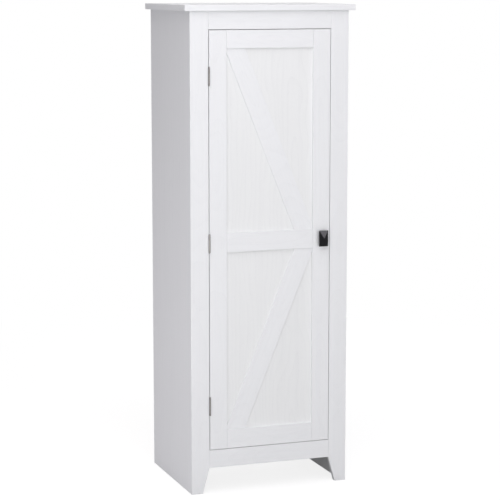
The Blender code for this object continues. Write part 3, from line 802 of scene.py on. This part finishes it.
class CABINET_OT_hang_hinges(bpy.types.Operator):
    """Make the three butt hinges with their screws"""

    bl_idname = "cabinet.hang_hinges"
    bl_label = "Hang Hinges"

    def execute(self, context):
        self.sizes = context.scene.cabinet_hardware
        nickel = metal_finish("satin_nickel", (0.27, 0.262, 0.255), (0.17, 0.163, 0.158), 0.32)
        steel = metal_finish("screw_nickel", (0.40, 0.39, 0.38), (0.26, 0.25, 0.245), 0.30)
        low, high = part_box("hinge_middle_frame_leaf")
        self.half = (high.z - low.z) / 2
        self.front = LEAF_STEP + self.sizes.barrel_radius
        self.rear = high.y - low.y - self.sizes.barrel_radius
        patterns = {"frame": self.leaf(-1), "door": self.leaf(1)}
        pin = self.pin()
        screw = flush_screw(
            "leaf_screw", self.sizes.screw_head, self.sizes.screw_radius,
            head_depth=LEAF_SCREW_DEPTH, reach=LEAF_SCREW_REACH,
        )
        for place in ("lower", "middle", "upper"):
            low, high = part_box(f"hinge_{place}_pin")
            axis = (low + high) / 2
            at = Matrix.Translation(axis)
            for side, owner, body in ((-1, "frame", "carcass"), (1, "door", "door")):
                leaf = copied(patterns[owner], f"{owner}_leaf_{place}", at)
                mount(leaf, nickel, "satin_nickel", body, f"hinge_{place}_{owner}_leaf")
                for number, (y, z) in enumerate(self.screw_spots(), 1):
                    spot = axis + Vector((side * self.sizes.leaf_gap / 2, y, z))
                    name = f"{owner}_leaf_screw_{place}_{number}"
                    one = copied(screw, name, aimed(spot + X * side * SCREW_GAP, X * -side))
                    mount(one, steel, "satin_nickel", body)
            one = copied(pin, f"pin_{place}", at)
            mount(one, nickel, "satin_nickel", "carcass", f"hinge_{place}_pin")
        for pattern in (*patterns.values(), pin, screw):
            bpy.data.objects.remove(pattern)
        return {"FINISHED"}

    def screw_spots(self):
        """Where the screws stand on a leaf, as depth and height from the pin's middle."""
        count = self.sizes.screw_count
        for i in range(count):
            stagger = self.sizes.screw_stagger * (1 if i % 2 else -1)
            height = 2 * self.half * ((i + 0.5) / count - 0.5)
            yield (self.front + self.rear) / 2 + stagger, height

    def leaf(self, side):
        """A leaf about the pin's middle, for the frame at -1 or the door at 1."""
        sizes, half = self.sizes, self.half
        inner = side * sizes.leaf_gap / 2
        outer = side * (sizes.leaf_gap / 2 + sizes.leaf_thickness)
        left, right = sorted((inner, outer))
        leaf = block("leaf", (left, self.front, -half), (right, self.rear, half))
        with shaping(leaf):
            pick("EDGE", running(X, (1, self.rear)))
            round_off(sizes.leaf_corner, 5)
        pitch = 2 * half / sizes.knuckle_count
        for i in range(0 if side < 0 else 1, sizes.knuckle_count, 2):
            low = -half + i * pitch + sizes.knuckle_gap / 2
            high = low + pitch - sizes.knuckle_gap
            knuckle = rod("knuckle", (0, 0, low), (0, 0, high), sizes.barrel_radius, sides=40)
            with shaping(knuckle):
                pick("EDGE", either(rim(2, low), rim(2, high)))
                round_off(KNUCKLE_ROUNDING, 2)
            root = (left, sizes.bore_radius + NECK_WALL, low)
            neck = block("neck", root, (right, self.front + NECK_OVERLAP, high))
            joined(leaf, knuckle, neck)
        tools = [rod("bore", (0, 0, -2 * half), (0, 0, 2 * half), sizes.bore_radius)]
        wide = sizes.screw_head + SINK_GAP
        steep = (wide - sizes.screw_radius - SINK_GAP) / LEAF_SCREW_DEPTH
        radii = (wide + steep * SINK_LEAD, wide - steep * sizes.leaf_thickness)
        for y, z in self.screw_spots():
            ends = ((inner - side * SINK_LEAD, y, z), (outer, y, z))
            tools.append(rod("sink", *ends, *radii, sides=24))
        cut(leaf, *tools)
        return smooth(leaf, 32)

    def pin(self):
        """The pin through the knuckles, with a domed tip at each end."""
        sizes, end = self.sizes, self.half + TIP_GAP
        pin = rod("pin", (0, 0, -end), (0, 0, end), sizes.hinge_pin_radius)
        wider = sizes.tip_radius / sizes.hinge_pin_radius
        with shaping(pin):
            for way in (1, -1):
                pick("FACE", facing(Z * way, end))
                push((0, 0, 0))
                swell((wider, wider, 1), (0, 0, way * end))
                push((0, 0, way * TIP_LENGTH))
                pick("EDGE", rim(2, way * (end + TIP_LENGTH)))
                round_off(TIP_ROUNDING, 5)
        return smooth(pin, 35, weighted=False)


# The bright and the dull tone of zinc, and how far a cutting tool starts before a face
ZINC = ((0.47, 0.48, 0.50), (0.36, 0.37, 0.395))
TOOL_LEAD = 0.005

# The knob: its neck, the plate's margin round it, the bore for the screw, the screw's head,
# and the turn between two faces from which their edge is rounded
NECK_LENGTH = 0.012
PLATE_MARGIN = 0.004
KNOB_BORE_DEPTH = 0.0097
KNOB_BORE_RADIUS = 0.0024
KNOB_SCREW_HEIGHT = 0.0024
ROUNDED_TURN = math.radians(8)


class CABINET_OT_fit_knob(bpy.types.Operator):
    """Make the pyramid knob and the screw that holds it from inside the door"""

    bl_idname = "cabinet.fit_knob"
    bl_label = "Fit Knob"

    def execute(self, context):
        sizes = context.scene.cabinet_hardware
        low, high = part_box("knob")
        middle, size = (low + high) / 2, high - low
        plate_rear = high.y - NECK_LENGTH
        plate_front = plate_rear - sizes.knob_edge
        knob = block("knob_casting", (low.x, plate_front, low.z), (high.x, plate_rear, high.z))
        with shaping(knob):
            pick("FACE", facing(-Y))
            bpy.ops.mesh.poke(offset=plate_front - low.y)
            pick("FACE", facing(Y))
            bpy.ops.mesh.inset(thickness=PLATE_MARGIN)
            across = sizes.knob_neck / (size.x - 2 * PLATE_MARGIN)
            tall = sizes.knob_neck / (size.z - 2 * PLATE_MARGIN)
            swell((across, 1, tall), (middle.x, plate_rear, middle.z))
            push((0, high.y - plate_rear, 0))
            flare = sizes.knob_foot / sizes.knob_neck
            swell((flare, 1, flare), (middle.x, high.y, middle.z))
            pick("EDGE", lambda edge: edge.calc_face_angle(0) > ROUNDED_TURN)
            round_off(sizes.knob_rounding, 3)
        centre = Vector((middle.x, high.y, middle.z))
        bottom, mouth = centre - Y * KNOB_BORE_DEPTH, centre + Y * TOOL_LEAD
        cut(knob, rod("bore", bottom, mouth, KNOB_BORE_RADIUS, sides=24))
        mount(smooth(knob, 40), cast_finish("black_casting"), "black_cast_metal", "door", "knob")

        low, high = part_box("knob_screw")
        seat = high.y - KNOB_SCREW_HEIGHT
        screw = domed_screw(
            "screw", head=0.0045, shank=0.002, head_height=KNOB_SCREW_HEIGHT, reach=seat - low.y
        )
        fixed = copied(screw, "knob_machine_screw", aimed((middle.x, seat, middle.z), Y))
        zinc = metal_finish("bright_zinc", *ZINC, 0.42)
        mount(fixed, zinc, "bright_zinc", "door", "knob_screw")
        bpy.data.objects.remove(screw)
        return {"FINISHED"}


# The shelf pins: the tongue that carries the shelf, the collar's gap to the wall, the tip in
# its hole, and the rounding of the other edges
TONGUE_REACH = 0.010
TONGUE_HALF_WIDTH = 0.004
TONGUE_HALF_THICKNESS = 0.0015
TONGUE_CORNER = 0.0016
COLLAR_GAP = 0.0003
PIN_TIP = 0.0006
SOFT_EDGE = 0.0003


class CABINET_OT_seat_shelf_pins(bpy.types.Operator):
    """Make the shelf pins, four under each adjustable shelf"""

    bl_idname = "cabinet.seat_shelf_pins"
    bl_label = "Seat Shelf Pins"

    def execute(self, context):
        sizes = context.scene.cabinet_hardware
        low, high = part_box("shelf_1_pin_front_right")
        wall = low.x + TONGUE_REACH
        collar = (high.z - low.z) / 2
        front = -COLLAR_GAP - sizes.shelf_pin_collar
        pattern = rod("pin", (front, 0, 0), (-COLLAR_GAP, 0, 0), collar)
        with shaping(pattern):
            pick("EDGE", rim(0, front))
            round_off(SOFT_EDGE, 2)
            pick("FACE", facing(X))
            bpy.ops.mesh.inset(thickness=collar - sizes.shelf_pin_radius)
            push((high.x - wall + COLLAR_GAP, 0, 0))
            pick("EDGE", rim(0, high.x - wall))
            round_off(PIN_TIP, 2)
        tip, wide, thick = low.x - wall, TONGUE_HALF_WIDTH, TONGUE_HALF_THICKNESS
        tongue = block("tongue", (tip, -wide, -thick), (front / 2, wide, thick))
        with shaping(tongue):
            pick("EDGE", running(Z, (0, tip)))
            round_off(TONGUE_CORNER, 4)
            pick("EDGE", either(rim(2, thick), rim(2, -thick)))
            round_off(SOFT_EDGE, 2)
        smooth(joined(pattern, tongue), 32)
        zinc = metal_finish("pin_zinc", *ZINC, 0.38)
        for name in sorted(frame["nodes"]):
            if name.startswith("shelf_"):
                low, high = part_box(name)
                middle = (low + high) / 2
                side = 1 if middle.x > 0 else -1
                turn = Matrix.Rotation(0 if side > 0 else math.pi, 4, "Z")
                at = Matrix.Translation((side * wall, middle.y, middle.z)) @ turn
                pin = copied(pattern, name.replace("pin", "support"), at)
                mount(pin, zinc, "bright_zinc", "carcass", name)
        bpy.data.objects.remove(pattern)
        return {"FINISHED"}


# The catch: the housing between its two ears, the room round the magnet, the ears' screws,
# and the strike plate with the sink for its screw
EAR_THICKNESS = 0.003
EAR_CORNER = 0.003
HOUSING_HALF_WIDTH = 0.014
HOUSING_ROUNDING = 0.0010
MAGNET_ROOM = Vector((0.0003, 0.0003, 0.0003))
CATCH_SCREW_OFFSET = 0.0185
CATCH_HOLE_RADIUS = 0.0018
STRIKE_CORNER = 0.0025
STRIKE_ROUNDING = 0.0002
SINK_MOUTH_RADIUS = 0.0034
SINK_END_RADIUS = 0.0011
STRIKE_SINK_DEPTH = 0.0013
STRIKE_SINK_LEAD = 0.0005
STRIKE_SCREW_SINK = 0.00015


class CABINET_OT_fit_catch(bpy.types.Operator):
    """Make the magnetic catch, its steel plate and their screws"""

    bl_idname = "cabinet.fit_catch"
    bl_label = "Fit Catch"

    def execute(self, context):
        plastic = plastic_finish("catch_plastic")
        zinc = metal_finish("catch_zinc", *ZINC, 0.42)
        low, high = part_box("catch_housing")
        magnet_low, magnet_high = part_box("catch_magnet")
        middle = (low.x + high.x) / 2
        ear = high.z - EAR_THICKNESS
        ends = [middle - HOUSING_HALF_WIDTH, middle + HOUSING_HALF_WIDTH]
        housing = block("catch_body", (low.x, low.y, ear), high)
        with shaping(housing):
            pick("EDGE", either(running(Z, (0, low.x)), running(Z, (0, high.x))))
            round_off(EAR_CORNER, 5)
            for end in ends:
                bpy.ops.mesh.select_all(action="SELECT")
                bpy.ops.mesh.bisect(plane_co=(end, 0, 0), plane_no=X)
            pick("FACE", self.under_middle(middle))
            push((0, 0, low.z - ear))
            pick("EDGE", either(rim(2, low.z), *[running(Z, (0, end)) for end in ends]))
            round_off(HOUSING_ROUNDING, 3)
        pocket_low, pocket_high = magnet_low - MAGNET_ROOM, magnet_high + MAGNET_ROOM
        pocket_low.y = low.y - TOOL_LEAD
        tools = [block("pocket", pocket_low, pocket_high)]
        offsets = (-CATCH_SCREW_OFFSET, CATCH_SCREW_OFFSET)
        spots = [Vector((middle + offset, (low.y + high.y) / 2, ear)) for offset in offsets]
        for spot in spots:
            start, end = spot - Z * TOOL_LEAD, spot + Z * TOOL_LEAD
            tools.append(rod("hole", start, end, CATCH_HOLE_RADIUS, sides=24))
        smooth(cut(housing, *tools), 32)
        mount(housing, plastic, "white_plastic", "carcass", "catch_housing")
        screw = domed_screw("screw", head=0.0030, shank=0.0015, head_height=0.0018, reach=0.0028)
        for name, spot in zip(("left", "right"), spots):
            one = copied(screw, f"catch_screw_{name}", aimed(spot - Z * SCREW_GAP, -Z))
            mount(one, zinc, "bright_zinc", "carcass")
        bpy.data.objects.remove(screw)
        dress("catch_magnet", magnet_finish("catch_magnet", magnet_low, magnet_high))
        self.strike(zinc)
        return {"FINISHED"}

    def under_middle(self, middle):
        """A test for the face under the housing's middle, between the ears."""
        def test(face):
            centred = abs(face.calc_center_median().x - middle) < NEAR
            return centred and facing(-Z)(face)

        return test

    def strike(self, zinc):
        """The steel plate on the door that the magnet holds, and its screw."""
        low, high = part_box("catch_strike_plate")
        plate = block("strike_plate", low, high)
        middle = (low + high) / 2
        with shaping(plate):
            pick("EDGE", running(Y))
            round_off(STRIKE_CORNER, 5)
            pick("EDGE", rim(1, high.y))
            round_off(STRIKE_ROUNDING, 2)
        mouth = Vector((middle.x, high.y, middle.z))
        start, end = mouth + Y * STRIKE_SINK_LEAD, mouth - Y * STRIKE_SINK_DEPTH
        cut(plate, rod("sink", start, end, SINK_MOUTH_RADIUS, SINK_END_RADIUS))
        mount(smooth(plate, 32), zinc, "bright_zinc", "door", "catch_strike_plate")
        screw = flush_screw("screw", head=0.0027, shank=0.0014, head_depth=0.0011, reach=0.009)
        one = copied(screw, "strike_screw", aimed(mouth - Y * STRIKE_SCREW_SINK, Y))
        mount(one, zinc, "bright_zinc", "door")
        bpy.data.objects.remove(screw)


# Studio


# Points low on the cabinet that the near lamps stand around and look at
LOW_MIDDLE = Vector((0, 0, 0.45))
LEFT_FOOT = Vector((-0.15, 0, 0.3))

# Colours of the light
WHITE = (1, 1, 1)
COOL = (0.985, 0.95, 1.0)
VIOLET = (0.96, 0.92, 1.0)
EVEN = (0.985, 0.965, 1.0)

# The floor: its greys in the open, in the painted shade under the cabinet and where a shadow shows,
# its glow, how far it lies below the feet, the step of the painted shade at the cabinet's edge, and
# the fade to plain white
OPEN_GREY = 0.56
PAINTED_SHADE_GREY = 0.05
SHADOW_GREY = 0.30
FLOOR_GLOW = 0.82
FLOOR_DROP = 0.0004
PAINTED_SHADE_START = -0.02
PAINTED_SHADE_END = 0.08
FADE_START = 1.2
FADE_END = 3.0


def soft_lamp(name, place, target, size, energy, colour):
    """A large soft lamp that the camera doesn't see."""
    data = bpy.data.lights.new(name, "AREA")
    data.shape = "RECTANGLE"
    data.size, data.size_y = size
    data.energy = energy
    data.color = colour
    lamp = bpy.data.objects.new(name, data)
    bpy.context.scene.collection.objects.link(lamp)
    lamp.location = place
    lamp.rotation_euler = (target - place).to_track_quat("-Z", "Y").to_euler()
    lamp.visible_camera = False


def around(middle, azimuth, elevation, distance):
    """A point round another. Azimuth 0 is in front and a negative one is on the left."""
    a, e = math.radians(azimuth), math.radians(elevation)
    out = Vector((math.sin(a) * math.cos(e), -math.cos(a) * math.cos(e), math.sin(e)))
    return middle + out * distance


class CABINET_OT_build_studio(bpy.types.Operator):
    """Lay the floor, set the lamps and the camera"""

    bl_idname = "cabinet.build_studio"
    bl_label = "Build Studio"

    def execute(self, context):
        scene = context.scene
        scene.view_settings.view_transform = "Standard"
        self.floor(context, scene.cabinet_studio)
        scene.world = self.sky(scene.cabinet_studio)
        self.lamps(scene.cabinet_studio)
        scene.camera = self.camera(scene.cabinet_studio)
        return {"FINISHED"}

    def floor(self, context, studio):
        """A white floor with painted shade under the cabinet: dim there for the light that it sends
        back up.
        """
        bpy.ops.object.select_all(action="DESELECT")
        bpy.ops.mesh.primitive_plane_add(size=studio.floor_size, location=(0, 0, -FLOOR_DROP))
        floor = context.object
        floor.name = "floor"
        finish = Finish("pale_floor")
        x, y = finish.parts(finish.place())[:2]
        low, high = CAD_BOX
        # Painted shade: for bounced light the floor is near black under the cabinet, so that less
        # light reaches beneath it
        inside = (high.x - abs(x)).least((y - low.y).least(high.y - y))
        under = finish.step(inside, PAINTED_SHADE_START, PAINTED_SHADE_END)
        lit = finish.blend(under, finish.flat(OPEN_GREY), finish.flat(PAINTED_SHADE_GREY))
        glow = finish.shining("ShaderNodeEmission", WHITE, FLOOR_GLOW)
        near = finish.node("ShaderNodeAddShader", None, {0: glow, 1: finish.flat(SHADOW_GREY)})
        far = finish.shining("ShaderNodeEmission", WHITE, 1.0)
        away = finish.step((x * x + y * y) ** 0.5, FADE_START, FADE_END)
        looked_at = finish.blend(away, near, far)
        floor.data.materials.append(finish.shown(finish.blend(finish.seen(), lit, looked_at)))

    def sky(self, studio):
        """Even light from all round, and plain white where it is looked at."""
        sky = Finish("studio", "worlds")
        even = sky.shining("ShaderNodeBackground", EVEN, studio.ambient)
        white = sky.shining("ShaderNodeBackground", WHITE, 1.0)
        return sky.shown(sky.blend(sky.seen(), even, white))

    def lamps(self, studio):
        """Each lamp has a place, what it looks at, a width and height, and a colour."""
        knob = sum(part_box("knob"), Vector()) / 2
        lamps = {
            "overhead": (around(MIDDLE, -25, 65, 2.8), MIDDLE, (1.4, 1.4), COOL),
            "upper_left": (around(MIDDLE, -50, 35, 3.0), MIDDLE, (1.4, 1.4), COOL),
            "high": (around(MIDDLE, -18, 40, 2.6), MIDDLE, (1.4, 1.4), WHITE),
            "front": (around(MIDDLE, 8, -1, 3.4), MIDDLE, (1.6, 1.0), WHITE),
            "foot": (around(LOW_MIDDLE, -36, 0, 2.3), LEFT_FOOT, (1.0, 0.7), WHITE),
            "side": (around(LOW_MIDDLE, -85, 0, 2.3), LEFT_FOOT, (1.0, 0.7), COOL),
            "glint": (around(knob, 22, 17, 3.5), knob, (0.5, 0.4), VIOLET),
            "rear": (around(MIDDLE, 150, 20, 3.6), MIDDLE, (2.4, 2.0), WHITE),
        }
        for name, (place, target, size, colour) in lamps.items():
            energy = getattr(studio, f"{name}_power")
            soft_lamp(f"{name}_lamp", place, target, size, energy, colour)

    def camera(self, studio):
        """The camera, at the place that was fitted to the photograph."""
        data = bpy.data.cameras.new("camera")
        data.lens = studio.focal_length
        camera = bpy.data.objects.new("camera", data)
        camera.location = studio.camera_place
        camera.rotation_euler = (math.pi / 2 - studio.camera_tilt, 0, -studio.camera_turn)
        bpy.context.scene.collection.objects.link(camera)
        return camera


# Panel and running


class CABINET_PT_panel(bpy.types.Panel):
    """The cabinet's tools, in the order they are used"""

    bl_idname = "CABINET_PT_panel"
    bl_label = "Storage Cabinet"
    bl_space_type = "VIEW_3D"
    bl_region_type = "UI"
    bl_category = "Cabinet"

    def draw(self, context):
        layout = self.layout
        for group in SETTINGS:
            settings = getattr(context.scene, group)
            box = layout.box()
            for name in settings.__annotations__:
                box.prop(settings, name)
        for operator in OPERATORS:
            layout.operator(operator.bl_idname)


OPERATORS = (
    CABINET_OT_wrap_boards,
    CABINET_OT_finish_back,
    CABINET_OT_hang_hinges,
    CABINET_OT_fit_knob,
    CABINET_OT_seat_shelf_pins,
    CABINET_OT_fit_catch,
    CABINET_OT_build_studio,
)
SETTINGS = {
    "cabinet_foil": CabinetFoilSettings,
    "cabinet_hardware": CabinetHardwareSettings,
    "cabinet_studio": CabinetStudioSettings,
}
CLASSES = (*SETTINGS.values(), *OPERATORS, CABINET_PT_panel)


def register():
    for item in CLASSES:
        bpy.utils.register_class(item)
    for name, settings in SETTINGS.items():
        setattr(bpy.types.Scene, name, PointerProperty(type=settings))


def unregister():
    for name in SETTINGS:
        delattr(bpy.types.Scene, name)
    for item in reversed(CLASSES):
        bpy.utils.unregister_class(item)


def main():
    """Builds everything in order."""
    register()
    bpy.ops.cabinet.wrap_boards()
    bpy.ops.cabinet.finish_back()
    bpy.ops.cabinet.hang_hinges()
    bpy.ops.cabinet.fit_knob()
    bpy.ops.cabinet.seat_shelf_pins()
    bpy.ops.cabinet.fit_catch()
    bpy.ops.cabinet.build_studio()


if __name__ == "__main__":
    main()
